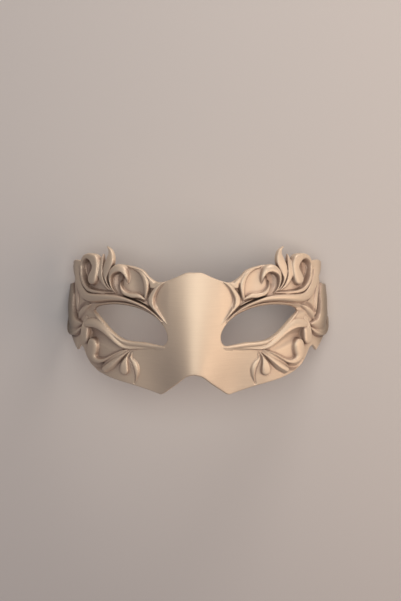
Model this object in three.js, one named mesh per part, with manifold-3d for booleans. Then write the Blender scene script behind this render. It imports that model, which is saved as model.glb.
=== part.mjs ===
import * as THREE from 'three';
import { mergeVertices } from 'three/addons/utils/BufferGeometryUtils.js';
import Module from 'manifold-3d';

const wasm = await Module();
wasm.setup();

// A half mask cast as one shell, lying face up on the rear ends of its side wings.
// It is laid out flat first, like a paper pattern: u runs round the face from its middle line,
// v runs up from the two cheek points, and w is the height above the shell's front. Then it is formed.
// All sizes are in millimetres.

// Shell
const SHELL_THICKNESS = 2.2;
const LEAF_FOOT_MOST = 1.2;
const LEAF_FOOT_LEAST = 0.5;
const REST_TRIM = 1.2;

// Wrap round the head: the front turns away from WRAP_START to WRAP_END, up to WRAP_TURN degrees
const WRAP_TURN = 79;
const WRAP_START = 9;
const WRAP_END = 124;
const WRAP_STRIDE = 0.5;
const WRAP_REACH = 130;

// Nose: a rounded ridge, narrow and high at its foot, broad and low on the forehead
const NOSE_FOOT = { v: 8, height: 15, width: 12 };
const NOSE_BRIDGE = { v: 35, height: 12.5, width: 16 };
const NOSE_BROW = { v: 54, height: 11.5, width: 18 };
const NOSE_CROWN = { v: 84, height: 9, width: 20 };

// Lean of the face from cheek to crown
const LEAN_FROM = 16;
const LEAN_SPAN = 60;
const LEAN_DROP = 6;

// How far to each side the front's slope is taken
const NORMAL_REACH = 0.4;

// Outline of the right half of the shell. A run ends where the edge has a corner.
const WING_EDGE = 118;
const FOREHEAD_TOP = [0, 75.5];
const NOTCH_TOP = [0, 15.5];
const TOP_RUNS = [
  [FOREHEAD_TOP, [5, 75.2], [13, 71.6], [21, 69], [27, 71.5], [32, 75.7], [40, 77.7], [48, 78], [52, 76.5]],
  [[52, 76.5], [55.5, 73.4], [59.8, 73.2]],
  [[59.8, 73.2], [62.4, 76.5], [63.8, 79.6]],
  [[63.8, 79.6], [71, 81.4], [77.5, 79.8], [83, 76.2]],
  [[83, 76.2], [91, 76.4], [97, 75.5], [101.4, 74.3]],
  [[101.4, 74.3], [103.2, 72.8], [97.8, 68.4], [94.5, 66]],
];
const WING_RUNS = [
  [[94.5, 66], [97.6, 65], [99.4, 63.2], [100.4, 60.8], [103, 59.4], [108.4, 58.7], [114.4, 57.6],
    [117, 56], [WING_EDGE, 53]],
  [[WING_EDGE, 53], [WING_EDGE, 37]],
  [[WING_EDGE, 37], [116, 31], [110, 28.6], [103, 26.8], [96, 24.5], [86.5, 19.8]],
  [[86.5, 19.8], [81.5, 24], [77.5, 23]],
];
const CHEEK_RUNS = [
  [[77.5, 23], [73, 17], [68, 12.4], [56, 8.2], [38, 4.4], [23.5, 0.6], [20.8, 0], [18.6, 1.4]],
  [[18.6, 1.4], [10.5, 9], [5, 14], NOTCH_TOP],
];

// Right eye hole, from its outer corner over the top to the inner corner, and back underneath
const EYE_RUNS = [
  [[67.7, 49.4], [60, 52.4], [51, 53.7], [42, 53.6], [34, 52.2], [26, 49], [20, 44.8], [16.6, 39.5],
    [16.4, 34.5], [19, 31.2], [24, 31.2], [31, 32], [38, 32], [44.4, 33], [51, 36.6], [59.6, 43.1],
    [64.4, 46.3], [67.7, 49.4]],
];
const OUTLINE_POINTS_PER_SPAN = 2;

// Leaves and ribbons of the right half. A station is [u, v, half width, height], from root to tip.
// crest puts the ridge off the middle, towards the left edge when above 0, and fall says how full
// each flank is, the right one first: 1 is straight, more is round, less is scooped out.
// side is how high the sides stand before the flanks begin, as a share of the height.
const LEAVES = [
  { name: 'forehead crescent', crest: 0.6, fall: [0.7, 1.2],
    stations: [[15.9, 70.4, 0.4, 0.5], [19.2, 68.4, 0.6, 1], [23, 65.5, 1.1, 1.8], [25.6, 61.2, 1.5, 2.3],
      [26.1, 57, 1.8, 2.4], [22.9, 52.6, 1.4, 2], [19.2, 48, 0.9, 1.6], [16.7, 43.6, 0.3, 0.6]] },
  { name: 'brow band', crest: 0.1, fall: [1.5, 1.3], side: 0.65,
    stations: [[20, 46.2, 0.5, 0.8], [24.6, 50.8, 1, 1.6], [30.4, 54, 1.2, 2.3], [36.6, 56.1, 1.5, 2.7],
      [44.6, 57.6, 1.8, 3], [56, 57.7, 2, 3], [69, 56.2, 2.6, 3], [76.5, 57.2, 3.1, 3],
      [81.8, 60.8, 3.6, 2.9], [86.4, 65.4, 4.3, 2.8], [90, 70, 6.2, 2.7],
      [92.2, 73.2, 7.6, 2.6], [92.8, 76, 8.6, 2.5]] },
  { name: 'temple hook', crest: 0.1, fall: [1.4, 1.5],
    stations: [[51, 60.9, 0.5, 0.8], [56, 60.7, 0.8, 1.4], [62, 60.3, 1.1, 1.9], [69.5, 60.2, 1.4, 2.3],
      [75.4, 61.9, 1.6, 2.6], [79.6, 65.4, 1.6, 2.9], [82, 70.4, 1.5, 3.1], [82.4, 75, 1.6, 3.4],
      [79.8, 79, 1.8, 3.7], [76.2, 80.4, 1.9, 3.8], [72.2, 80.2, 2.5, 3.9], [68.8, 78.6, 3.2, 3.9],
      [67.3, 75.6, 3, 3.8], [67.3, 72.5, 2.9, 3.8], [68, 70, 3.4, 3.8], [68.7, 67.4, 3.4, 3.4],
      [69, 65, 1.4, 1.6]] },
  { name: 'small flame', crest: 0, fall: [1.2, 1.2],
    stations: [[54.6, 62.2, 0.4, 0.6], [58, 64.4, 0.9, 1.4], [61.2, 67.6, 1.5, 1.9], [63.6, 71.6, 2, 2.1],
      [63.6, 75.4, 1.9, 1.8], [63.1, 79.4, 1.2, 1.2], [63.2, 83.2, 0.25, 0.3]] },
  { name: 'tall flame', crest: 0, fall: [1.2, 1.1],
    stations: [[51, 60.9, 0.4, 0.6], [55.2, 64.6, 0.8, 1.5], [57.8, 69, 1.3, 2], [57.9, 72.3, 2.4, 2.1],
      [57.1, 76, 3.3, 2.1], [55.9, 79.6, 3.1, 1.9], [55.7, 83.2, 2.1, 1.5], [57.3, 85.9, 1.1, 1.1],
      [61, 88.1, 0.25, 0.3]] },
  { name: 'great crescent', crest: 0.35, fall: [1.4, 0.9],
    stations: [[49.6, 60.4, 0.5, 0.8], [52.3, 63.4, 0.8, 1.6], [53.7, 66.8, 1, 2.4], [53.9, 70.4, 1.4, 3],
      [52.6, 73.4, 2, 3.4], [50, 75.2, 2.5, 3.5], [46.8, 75.6, 2.4, 3.5], [44, 74.2, 2, 3.2],
      [42.3, 72, 1.4, 2.7], [41.4, 69.2, 0.9, 2], [41.2, 67.2, 0.25, 0.8]] },
  { name: 'inner leaf', crest: 0, fall: [1.2, 1.1],
    stations: [[29.6, 58, 0.4, 0.8], [32.2, 59.6, 1.3, 1.8], [36, 60.3, 1.7, 2.3], [40, 60.3, 1.6, 2.5],
      [43.4, 61.7, 1.4, 2.5], [45.4, 64, 1, 2.1], [46.4, 66.4, 0.6, 1.5], [46.6, 68.2, 0.25, 0.7]] },
  { name: 'panel border', crest: 0.1, fall: [1.3, 1.2],
    stations: [[29.4, 57.6, 0.4, 0.8], [29.2, 62, 1.1, 2], [29.1, 66.4, 1.35, 2.3], [29.9, 70.4, 1.3, 2.3],
      [32, 73.4, 1, 1.8], [34.6, 74.9, 0.7, 1.2], [37.8, 75.6, 0.3, 0.6]] },
  { name: 'lower lid', crest: 0.1, fall: [1.2, 1.3],
    stations: [[20, 30.2, 0.4, 0.4], [26, 30.2, 0.9, 0.9], [32.2, 30.4, 1, 1.2], [38.6, 30.8, 1, 1.4],
      [45, 31.8, 1.1, 1.6], [50.4, 34.7, 1.2, 1.7], [56, 38.9, 1.1, 1.6], [61, 42.6, 0.8, 1.1],
      [64.6, 45.4, 0.4, 0.5]] },
  { name: 'cheek ribbon', crest: -0.4, fall: [1.3, 0.9],
    stations: [[30, 28.7, 0.4, 0.5], [36, 28.5, 0.9, 1.1], [41.6, 28.5, 1.4, 1.6], [46.4, 30.4, 1.7, 2.1],
      [51, 34, 2, 2.4], [56.2, 37.7, 2.3, 2.7], [61.4, 40, 2.6, 2.8], [66.4, 40.6, 2.6, 2.8],
      [72, 39.6, 2, 2.2]] },
  { name: 'drape', crest: 0.1, fall: [1.3, 1],
    stations: [[75.4, 42.4, 1, 0.6], [75.8, 39.2, 1.8, 1.9], [75.8, 36, 2.4, 2.6], [75.4, 33, 3.1, 2.9],
      [74.8, 29.8, 3.6, 3], [74.3, 27, 3, 2.6]] },
  { name: 'lower hook', crest: 0, fall: [1.4, 1.4],
    stations: [[41.4, 27, 0.4, 0.5], [47.6, 24.4, 0.7, 1.3], [54.2, 20.3, 1, 1.9], [58, 18.4, 1.3, 2.3],
      [61.8, 17.8, 1.7, 2.6], [64.9, 18.9, 2.3, 2.8], [66.7, 21.4, 2.9, 3], [66.6, 24.4, 3.4, 3],
      [66.1, 27, 3.5, 3], [65.9, 29.6, 2.8, 2.8], [65.8, 31.2, 1.2, 1.4]] },
  { name: 'straight leaf', crest: -0.1, fall: [1, 1],
    stations: [[40.8, 25.6, 0.4, 0.5], [44.2, 22.8, 1.1, 1.4], [48, 19.4, 2, 2.2], [52, 15.9, 2.6, 2.7],
      [56.4, 12.9, 2.3, 2.6], [58, 11.9, 1.2, 1.6]] },
  { name: 'teardrop', crest: 0, fall: [1.6, 1.6],
    stations: [[40.2, 25, 0.3, 0.4], [41.6, 22, 0.9, 1.2], [42.6, 19, 1.9, 1.9], [43.1, 16.2, 2.7, 2.3],
      [43.2, 13.4, 2.6, 2.3], [43.2, 11.4, 1.1, 1.2]] },
  { name: 'cheek crescent', crest: 0.3, fall: [0.9, 1.3],
    stations: [[38.4, 25, 0.4, 0.4], [39, 21.8, 0.9, 0.9], [37, 19, 1.7, 1.3], [35.6, 15.8, 1.8, 1.5],
      [35.3, 12, 1.2, 1.3], [36, 8.4, 0.6, 0.8], [36.9, 5.8, 0.25, 0.4]] },
  { name: 'wing band', crest: -0.5, fall: [1.3, 1],
    stations: [[107.6, 57.2, 8.4, 1.2], [105.4, 52.6, 11, 2.2], [102.6, 46.6, 12, 2.9], [98.6, 41, 10.4, 3.1],
      [93, 37.8, 7.6, 3], [86.4, 37, 4, 2.6], [79.6, 38, 1.2, 1.4]] },
  { name: 'wing fold', crest: -0.2, fall: [1.2, 1.1],
    stations: [[78.6, 35.8, 0.8, 1.2], [84, 33, 2.1, 2.2], [92, 31, 2.9, 2.7], [100.4, 31, 3.1, 2.6],
      [108.6, 32.2, 2.8, 2], [114.6, 33.6, 1.8, 1.2]] },
  { name: 'temple leaf', crest: 0, fall: [1.2, 1],
    stations: [[94.2, 62.8, 2, 0.8], [91.4, 58.8, 2.3, 1.1], [88.8, 54.6, 2.2, 1.3], [87.3, 50, 1.6, 1.2],
      [86.4, 45, 0.4, 0.6]] },
  { name: 'temple sprig', crest: 0.3, fall: [1.2, 1.2],
    stations: [[71, 51.4, 0.5, 0.6], [74.2, 49.2, 1.4, 1.3], [77.6, 46.4, 2, 1.8], [80.4, 43.6, 1.8, 1.7],
      [82.2, 41.2, 0.6, 0.9]] },
];
const LEAF_STRIDE = 3.5;
const LEAST_LEAF = 0.2;
const USUAL_SIDE = 0.35;
const FLANK_FULLNESS = 1.6;
const TANGENT_REACH = 0.004;

// Hollows cut into the shell, each [u, v, half width, depth]
const HOLLOWS = [
  { name: 'gap over the brow band',
    stations: [[23, 51, 0.4, 0.6], [28, 54.9, 0.8, 1.4], [34, 57.7, 0.8, 1.6], [40, 59.5, 0.7, 1.4],
      [45.4, 60.6, 0.4, 0.6]] },
  { name: 'hook cavity',
    stations: [[76, 78.2, 1.2, 0.8], [75.6, 75.4, 2.8, 1.6], [75.8, 71.4, 3.2, 1.7], [75.6, 67.4, 2.6, 1.6],
      [74.2, 64.4, 1.2, 0.8]] },
  { name: 'crescent bowl',
    stations: [[48.2, 62.8, 1, 0.6], [49.4, 66.6, 1.8, 1.4], [48.4, 70.4, 2.2, 1.6],
      [45.8, 71.9, 1.2, 0.8]] },
  { name: 'field under the cheek ribbon',
    stations: [[49, 27.2, 0.8, 0.5], [54, 29.8, 2.2, 1.1], [60, 33.2, 3, 1.5], [65.6, 34.8, 2.2, 1.5],
      [69.6, 33.8, 1.2, 0.8]] },
  { name: 'temple pocket',
    stations: [[77, 51, 0.8, 0.6], [81, 48.2, 1.8, 1.4], [84, 45, 1.4, 1.2]] },
  { name: 'slit beside the wing band',
    stations: [[91.6, 54.4, 0.5, 0.7], [90, 50, 0.9, 1.5], [88.4, 45.4, 0.9, 1.5], [84.6, 40.6, 0.5, 0.6]] },
];

// Facets: an edge is halved wherever bending would lift the surface off it by more than this
const FACET_SAG = 0.15;
const HALVING_ROUNDS = 6;
const EVENING_ROUNDS = 12;
const LEVEL = 1e-4;
const EDGE_KEY_STEP = 1e6;

// An even ease from 0 to 1
function blend(t) {
  const c = Math.min(Math.max(t, 0), 1);
  return c * c * (3 - 2 * c);
}

// The wrap's curve, followed in small steps from the middle line
function steppedWrap() {
  const steps = [{ x: 0, z: 0, turn: 0 }];
  for (let i = 1; i * WRAP_STRIDE <= WRAP_REACH; i += 1) {
    const u = (i - 0.5) * WRAP_STRIDE;
    const turn = THREE.MathUtils.degToRad(WRAP_TURN) * blend((u - WRAP_START) / (WRAP_END - WRAP_START));
    const last = steps[i - 1];
    steps.push({ x: last.x + WRAP_STRIDE * Math.cos(turn), z: last.z - WRAP_STRIDE * Math.sin(turn), turn });
  }
  return steps;
}

const WRAP = steppedWrap();

function wrapAt(u) {
  const place = Math.abs(u) / WRAP_STRIDE;
  const i = Math.min(Math.floor(place), WRAP.length - 2);
  const t = place - i;
  const lerp = (key) => THREE.MathUtils.lerp(WRAP[i][key], WRAP[i + 1][key], t);
  return { x: lerp('x'), z: lerp('z'), turn: lerp('turn') };
}

function noseAt(u, v) {
  const rows = [NOSE_FOOT, NOSE_BRIDGE, NOSE_BROW, NOSE_CROWN];
  const c = Math.min(Math.max(v, NOSE_FOOT.v), NOSE_CROWN.v);
  const above = rows[Math.max(rows.findIndex((row) => c <= row.v), 1)];
  const below = rows[rows.indexOf(above) - 1];
  const t = (c - below.v) / (above.v - below.v);
  const height = THREE.MathUtils.lerp(below.height, above.height, t);
  const width = THREE.MathUtils.lerp(below.width, above.width, t);
  return height * Math.exp(-0.5 * (u / width) ** 2);
}

// The shell's front, formed: wrap, nose and lean together
function front(u, v) {
  const wrap = wrapAt(u);
  const lean = -LEAN_DROP * ((v - LEAN_FROM) / LEAN_SPAN) ** 2;
  const x = Math.sign(u) * (wrap.x + lean * Math.sin(wrap.turn));
  return new THREE.Vector3(x, v, wrap.z + noseAt(u, v) + lean * Math.cos(wrap.turn));
}

// A point at height w over the shell's front
function formed(u, v, w) {
  const across = front(u + NORMAL_REACH, v).sub(front(u - NORMAL_REACH, v));
  const along = front(u, v + NORMAL_REACH).sub(front(u, v - NORMAL_REACH));
  return front(u, v).addScaledVector(across.cross(along).normalize(), w);
}

// One station at a place along a list of them, on a smooth curve through every one
function stationAt(stations, t) {
  const last = stations.length - 1;
  const i = Math.min(Math.floor(t * last), last - 1);
  const f = t * last - i;
  const pick = (k) => stations[Math.min(Math.max(k, 0), last)];
  return stations[0].map((_, k) => {
    const [a, b, c, d] = [pick(i - 1)[k], pick(i)[k], pick(i + 1)[k], pick(i + 2)[k]];
    return b + 0.5 * f * (c - a + f * (2 * a - 5 * b + 4 * c - d + f * (3 * (b - c) + d - a)));
  });
}

function lengthOf(stations) {
  let length = 0;
  for (let i = 1; i < stations.length; i += 1) {
    length += Math.hypot(stations[i][0] - stations[i - 1][0], stations[i][1] - stations[i - 1][1]);
  }
  return length;
}

// A closed bar swept along the stations, with section(halfWidth, height) giving its [q, w] corners
function swept(stations, section) {
  const count = Math.max(4, Math.round(lengthOf(stations) / LEAF_STRIDE));
  const points = [];
  let corners = 0;
  for (let i = 0; i <= count; i += 1) {
    const t = i / count;
    const [u, v, half, height] = stationAt(stations, t);
    const before = stationAt(stations, Math.max(t - TANGENT_REACH, 0));
    const after = stationAt(stations, Math.min(t + TANGENT_REACH, 1));
    const pitch = Math.hypot(after[0] - before[0], after[1] - before[1]);
    const left = [-(after[1] - before[1]) / pitch, (after[0] - before[0]) / pitch];
    const ring = section(Math.max(half, LEAST_LEAF), Math.max(height, LEAST_LEAF));
    corners = ring.length;
    for (const [q, w] of ring) {
      points.push(u + left[0] * q, v + left[1] * q, w);
    }
  }
  const faces = [];
  for (let i = 0; i < count; i += 1) {
    for (let k = 0; k < corners; k += 1) {
      const next = (k + 1) % corners;
      const [a, b] = [i * corners + k, i * corners + next];
      faces.push(a, b, b + corners, a, b + corners, a + corners);
    }
  }
  const end = count * corners;
  for (let k = 1; k < corners - 1; k += 1) {
    faces.push(0, k + 1, k, end, end + k, end + k + 1);
  }
  return solidFrom(points, faces);
}

// A closed solid with its faces pointing out
function solidFrom(points, faces) {
  const vertProperties = new Float32Array(points);
  const mesh = new wasm.Mesh({ numProp: 3, vertProperties, triVerts: new Uint32Array(faces) });
  const solid = new wasm.Manifold(mesh);
  return solid.volume() < 0 ? new wasm.Manifold(flipped(mesh)) : solid;
}

function flipped(mesh) {
  const triVerts = Uint32Array.from(mesh.triVerts);
  for (let i = 0; i < triVerts.length; i += 3) {
    [triVerts[i], triVerts[i + 1]] = [triVerts[i + 1], triVerts[i]];
  }
  return new wasm.Mesh({ numProp: 3, vertProperties: mesh.vertProperties, triVerts });
}

function mirrored(stations) {
  return stations.map(([u, ...rest]) => [-u, ...rest]);
}

// A ridge with two flanks; its foot sinks into the shell
function leafSolid({ crest, fall, stations, side = USUAL_SIDE }, hand) {
  const run = hand > 0 ? stations : mirrored(stations);
  const ridge = crest * hand;
  const [right, left] = hand > 0 ? fall : [fall[1], fall[0]];
  const foot = (half) => Math.min(LEAF_FOOT_MOST, LEAF_FOOT_LEAST + half);
  const flank = (fullness) => side + (1 - side) * (1 - 0.5 ** (fullness * FLANK_FULLNESS));
  return swept(run, (half, height) => [
    [-half, -foot(half)],
    [half, -foot(half)],
    [half, height * side],
    [half * (1 + ridge) / 2, height * flank(left)],
    [half * ridge, height],
    [half * (ridge - 1) / 2, height * flank(right)],
    [-half, height * side],
  ]);
}

// A V-shaped cutter
function hollowTool({ stations }, hand) {
  const run = hand > 0 ? stations : mirrored(stations);
  const above = 8;
  return swept(run, (half, depth) => [[-half, above], [-half, 0], [0, -depth], [half, 0], [half, above]]);
}

// Points of an outline that is smooth within each run
function runPoints(runs) {
  const points = [];
  for (const run of runs) {
    const spans = run.length - 1;
    const count = spans > 1 ? spans * OUTLINE_POINTS_PER_SPAN : 1;
    for (let i = 0; i < count; i += 1) {
      const [u, v] = stationAt(run, i / count);
      points.push(new THREE.Vector2(u, v));
    }
  }
  return points;
}

function mirroredPoints(points) {
  return points.map((p) => new THREE.Vector2(-p.x, p.y)).reverse();
}

function shellSolid() {
  const half = [...runPoints(TOP_RUNS), ...runPoints(WING_RUNS), ...runPoints(CHEEK_RUNS)];
  const notch = new THREE.Vector2(...NOTCH_TOP);
  const shape = new THREE.Shape([...half, notch, ...mirroredPoints(half.slice(1))]);
  const eye = runPoints(EYE_RUNS);
  shape.holes.push(new THREE.Path(eye), new THREE.Path(mirroredPoints(eye)));
  const geometry = new THREE.ExtrudeGeometry(shape, { depth: SHELL_THICKNESS, bevelEnabled: false });
  geometry.translate(0, 0, -SHELL_THICKNESS);
  return solidOf(geometry);
}

function solidOf(geometry) {
  const bare = geometry.clone();
  bare.deleteAttribute('normal');
  bare.deleteAttribute('uv');
  const merged = mergeVertices(bare, LEVEL);
  return solidFrom(merged.attributes.position.array, merged.index.array);
}

// Halves each edge that the bent surface leaves by more than the sag allowed, and splits the faces beside it
function halved({ points, faces }) {
  const bent = points.map(([u, v, w]) => formed(u, v, w));
  const middles = new Map();
  const middleOf = (a, b) => {
    const key = a < b ? `${a}_${b}` : `${b}_${a}`;
    if (!middles.has(key)) {
      const middle = points[a].map((value, k) => (value + points[b][k]) / 2);
      const chord = bent[a].clone().add(bent[b]).multiplyScalar(0.5);
      const leaves = formed(...middle).distanceTo(chord) > FACET_SAG;
      middles.set(key, leaves ? points.push(middle) - 1 : -1);
    }
    return middles.get(key);
  };
  const result = [];
  for (const [a, b, c] of faces) {
    const [ab, bc, ca] = [middleOf(a, b), middleOf(b, c), middleOf(c, a)];
    result.push(...splitFace([a, b, c], [ab, bc, ca]));
  }
  return { points, faces: result };
}

// One face split at those of its three edges that have a cut
function splitFace(face, cuts) {
  const found = cuts.filter((cut) => cut >= 0).length;
  if (found === 0) {
    return [face];
  }
  if (found === 3) {
    const [a, b, c] = face;
    const [ab, bc, ca] = cuts;
    return [[a, ab, ca], [ab, b, bc], [ca, bc, c], [ab, bc, ca]];
  }
  const k = cuts.findIndex((cut, n) => cut >= 0 && (found === 1 || cuts[(n + 1) % 3] >= 0));
  const [a, b, c] = [face[k], face[(k + 1) % 3], face[(k + 2) % 3]];
  const [m, n] = [cuts[k], cuts[(k + 1) % 3]];
  return found === 1 ? [[a, m, c], [m, b, c]] : [[m, b, n], [a, m, n], [a, n, c]];
}

const edgeKey = (from, to) => from * EDGE_KEY_STEP + to;

// Edges between two level faces are turned until those faces are as even as they can be
function evened({ points, faces }) {
  for (let round = 0; round < EVENING_ROUNDS; round += 1) {
    const apexes = new Map();
    faces.forEach(([a, b, c], index) => {
      apexes.set(edgeKey(a, b), { index, from: a, to: b, apex: c });
      apexes.set(edgeKey(b, c), { index, from: b, to: c, apex: a });
      apexes.set(edgeKey(c, a), { index, from: c, to: a, apex: b });
    });
    const turned = new Set();
    for (const { index, from, to, apex } of apexes.values()) {
      const other = apexes.get(edgeKey(to, from));
      const free = !turned.has(index) && !turned.has(other.index) && !apexes.has(edgeKey(apex, other.apex));
      if (free && from < to && worthTurning(points[from], points[to], points[apex], points[other.apex])) {
        faces[index] = [from, other.apex, apex];
        faces[other.index] = [other.apex, to, apex];
        turned.add(index);
        turned.add(other.index);
      }
    }
    if (turned.size === 0) {
      break;
    }
  }
  return { points, faces };
}

// Whether turning edge pq to rs keeps both faces level and makes their smallest angle larger
function worthTurning(p, q, r, s) {
  if (Math.max(p[2], q[2], r[2], s[2]) - Math.min(p[2], q[2], r[2], s[2]) > LEVEL) {
    return false;
  }
  const area = (a, b, c) => (b[0] - a[0]) * (c[1] - a[1]) - (b[1] - a[1]) * (c[0] - a[0]);
  const sides = [area(p, s, r), area(s, q, r)];
  if (Math.abs(sides[0]) < LEVEL || sides[0] * sides[1] <= 0) {
    return false;
  }
  const dot = (a, b, c) => (b[0] - a[0]) * (c[0] - a[0]) + (b[1] - a[1]) * (c[1] - a[1]);
  const [sinR, sinS] = [Math.abs(area(r, p, q)), Math.abs(area(s, p, q))];
  return dot(r, p, q) * sinS + dot(s, p, q) * sinR < -LEVEL;
}

// The flat pattern bent to the face's form, with facets fine enough to follow it
function formedSolid(flat) {
  const mesh = flat.getMesh();
  let work = { points: [], faces: [] };
  for (let i = 0; i < mesh.vertProperties.length; i += mesh.numProp) {
    work.points.push(Array.from(mesh.vertProperties.slice(i, i + 3)));
  }
  for (let i = 0; i < mesh.triVerts.length; i += 3) {
    work.faces.push(Array.from(mesh.triVerts.slice(i, i + 3)));
  }
  for (let round = 0; round < HALVING_ROUNDS; round += 1) {
    work = halved(evened(work));
  }
  work = evened(work);
  return solidFrom(work.points.flatMap(([u, v, w]) => formed(u, v, w).toArray()), work.faces.flat());
}

// The rear ends of the wings are dressed flat, so that the mask lies steady on them
function trimmed(solid) {
  const low = solid.boundingBox().min[2] + REST_TRIM;
  const room = 400;
  const keep = new THREE.BoxGeometry(room, room, room).translate(0, 0, low + room / 2);
  return solid.intersect(solidOf(keep));
}

function maskGeometry() {
  let flat = shellSolid();
  for (const hand of [1, -1]) {
    for (const hollow of HOLLOWS) {
      flat = flat.subtract(hollowTool(hollow, hand));
    }
    for (const leaf of LEAVES) {
      flat = flat.add(leafSolid(leaf, hand));
    }
  }
  const mesh = trimmed(formedSolid(flat)).getMesh();
  const geometry = new THREE.BufferGeometry();
  geometry.setAttribute('position', new THREE.BufferAttribute(mesh.vertProperties, 3));
  geometry.setIndex(new THREE.BufferAttribute(mesh.triVerts, 1));
  geometry.computeBoundingBox();
  const { min, max } = geometry.boundingBox;
  geometry.translate(0, -(min.y + max.y) / 2, -min.z);
  geometry.computeVertexNormals();
  return geometry;
}

const ivory = new THREE.MeshStandardMaterial({ color: 0xe2cdb0, roughness: 0.55, metalness: 0 });
const mask = new THREE.Mesh(maskGeometry(), ivory);
mask.name = 'mask';

const group = new THREE.Group();
group.add(mask);

export default group;
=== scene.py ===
import math

import bmesh
import bpy
import numpy as np
from mathutils import Matrix, Vector


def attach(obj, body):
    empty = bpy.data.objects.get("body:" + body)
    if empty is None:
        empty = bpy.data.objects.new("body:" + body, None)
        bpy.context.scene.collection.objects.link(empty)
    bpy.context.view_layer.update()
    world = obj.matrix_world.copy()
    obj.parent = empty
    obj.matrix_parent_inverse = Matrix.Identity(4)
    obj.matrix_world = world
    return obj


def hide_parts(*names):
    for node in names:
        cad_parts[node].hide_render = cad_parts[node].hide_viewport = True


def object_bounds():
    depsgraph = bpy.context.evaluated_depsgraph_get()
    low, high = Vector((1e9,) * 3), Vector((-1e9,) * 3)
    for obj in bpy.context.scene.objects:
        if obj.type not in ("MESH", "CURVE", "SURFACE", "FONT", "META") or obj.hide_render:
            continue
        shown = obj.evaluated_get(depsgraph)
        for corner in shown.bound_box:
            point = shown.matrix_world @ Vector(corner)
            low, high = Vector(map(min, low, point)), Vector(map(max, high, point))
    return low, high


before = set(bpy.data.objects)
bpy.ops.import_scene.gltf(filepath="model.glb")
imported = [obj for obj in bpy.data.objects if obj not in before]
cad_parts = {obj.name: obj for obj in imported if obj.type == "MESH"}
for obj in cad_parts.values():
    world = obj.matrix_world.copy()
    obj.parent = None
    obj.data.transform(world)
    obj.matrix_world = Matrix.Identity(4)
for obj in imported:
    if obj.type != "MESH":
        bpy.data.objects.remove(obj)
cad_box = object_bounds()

# A half mask cast as one shell, lying face up on the rear ends of its side wings.
# It is laid out flat first, like a paper pattern: u runs round the face from its middle line,
# v runs up from the two cheek points, and w is the height above the shell's front. Then it is formed.
# The pattern is in millimetres, and the finished mesh in metres.
MILLIMETRE = 0.001

# How far up the pattern reaches
PATTERN_TOP = 92

# Shell
SHELL_THICKNESS = 2.2
FREE_LEAF_THICKNESS = 1.5
THINNING_RUN = 2
FRONT_ROUNDING = 0.7
BACK_ROUNDING = 0.5

# Wrap round the head: the front turns away from WRAP_START to WRAP_END, up to WRAP_TURN degrees
WRAP_TURN = 79
WRAP_START = 9
WRAP_END = 124
WRAP_STRIDE = 0.5
WRAP_REACH = 130

# Nose: a rounded ridge, narrow and high at its foot, broad and low on the forehead.
# Each row is v, height, width.
NOSE_ROWS = [(8, 15, 12), (35, 12.5, 16), (54, 11.5, 18), (84, 9, 20)]
NOSE_SOFTENING = 5
NOSE_MARGIN = 20

# Lean of the face from cheek to crown
LEAN_FROM = 16
LEAN_SPAN = 60
LEAN_DROP = 6

# How far to each side the front's slope is taken
NORMAL_REACH = 0.4

# Outline of the right half of the shell. A run ends where the edge has a corner.
WING_EDGE = 118
TOP_RUNS = [
    [(0, 75.5), (5, 75.2), (13, 71.6), (21, 69), (27, 71.5), (32, 75.7), (40, 77.7), (48, 78), (52, 76.5)],
    [(52, 76.5), (55.5, 73.4), (59.8, 73.2)],
    [(59.8, 73.2), (62.4, 76.5), (63.8, 79.6)],
    [(63.8, 79.6), (71, 81.4), (77.5, 79.8), (83, 76.2)],
    [(83, 76.2), (86.4, 76.6), (91, 76.5), (97, 75.6), (101.4, 74.3), (103.2, 72.8), (101.2, 70.6),
     (97.8, 68.4), (94.5, 66)],
]
WING_RUNS = [
    [(94.5, 66), (97.6, 65), (99.4, 63.2), (100.4, 60.8), (103, 59.4), (108.4, 58.7), (114.4, 57.6),
     (117, 56), (WING_EDGE, 53)],
    [(WING_EDGE, 53), (WING_EDGE, 37)],
    [(WING_EDGE, 37), (116, 31), (110, 28.6), (103, 26.8), (96, 24.5), (86.5, 19.8)],
    [(86.5, 19.8), (81.5, 24), (77.5, 23)],
]
CHEEK_RUNS = [
    [(77.5, 23), (73, 17), (68, 12.4), (56, 8.2), (38, 4.4), (23.5, 0.6), (20.8, 0.06), (18.6, 1.4)],
    [(18.6, 1.4), (10.5, 9), (5, 14), (0, 15.5)],
]
EYE_RUN = [(67.7, 49.4), (64.8, 51), (60, 52.4), (51, 53.7), (42, 53.6), (34, 52.2), (26, 49), (20, 44.8),
           (16.6, 39.5), (16.4, 34.5), (19, 31.2), (24, 31.2), (31, 32), (38, 32), (44.4, 33), (51, 36.6),
           (59.6, 43.1), (64.4, 46.3), (66.9, 47.8), (67.7, 49.4)]
OUTLINE_POINTS_PER_SPAN = 8

# How a flank falls from the ridge to the edge: (1 - x ** a) ** b, as (a, b)
FLANKS = {"round": (2.2, 0.55), "flat": (4.5, 0.6), "soft": (2.0, 1.0), "ramp": (1.15, 1.0),
          "dish": (2.0, 2.0)}

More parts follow.
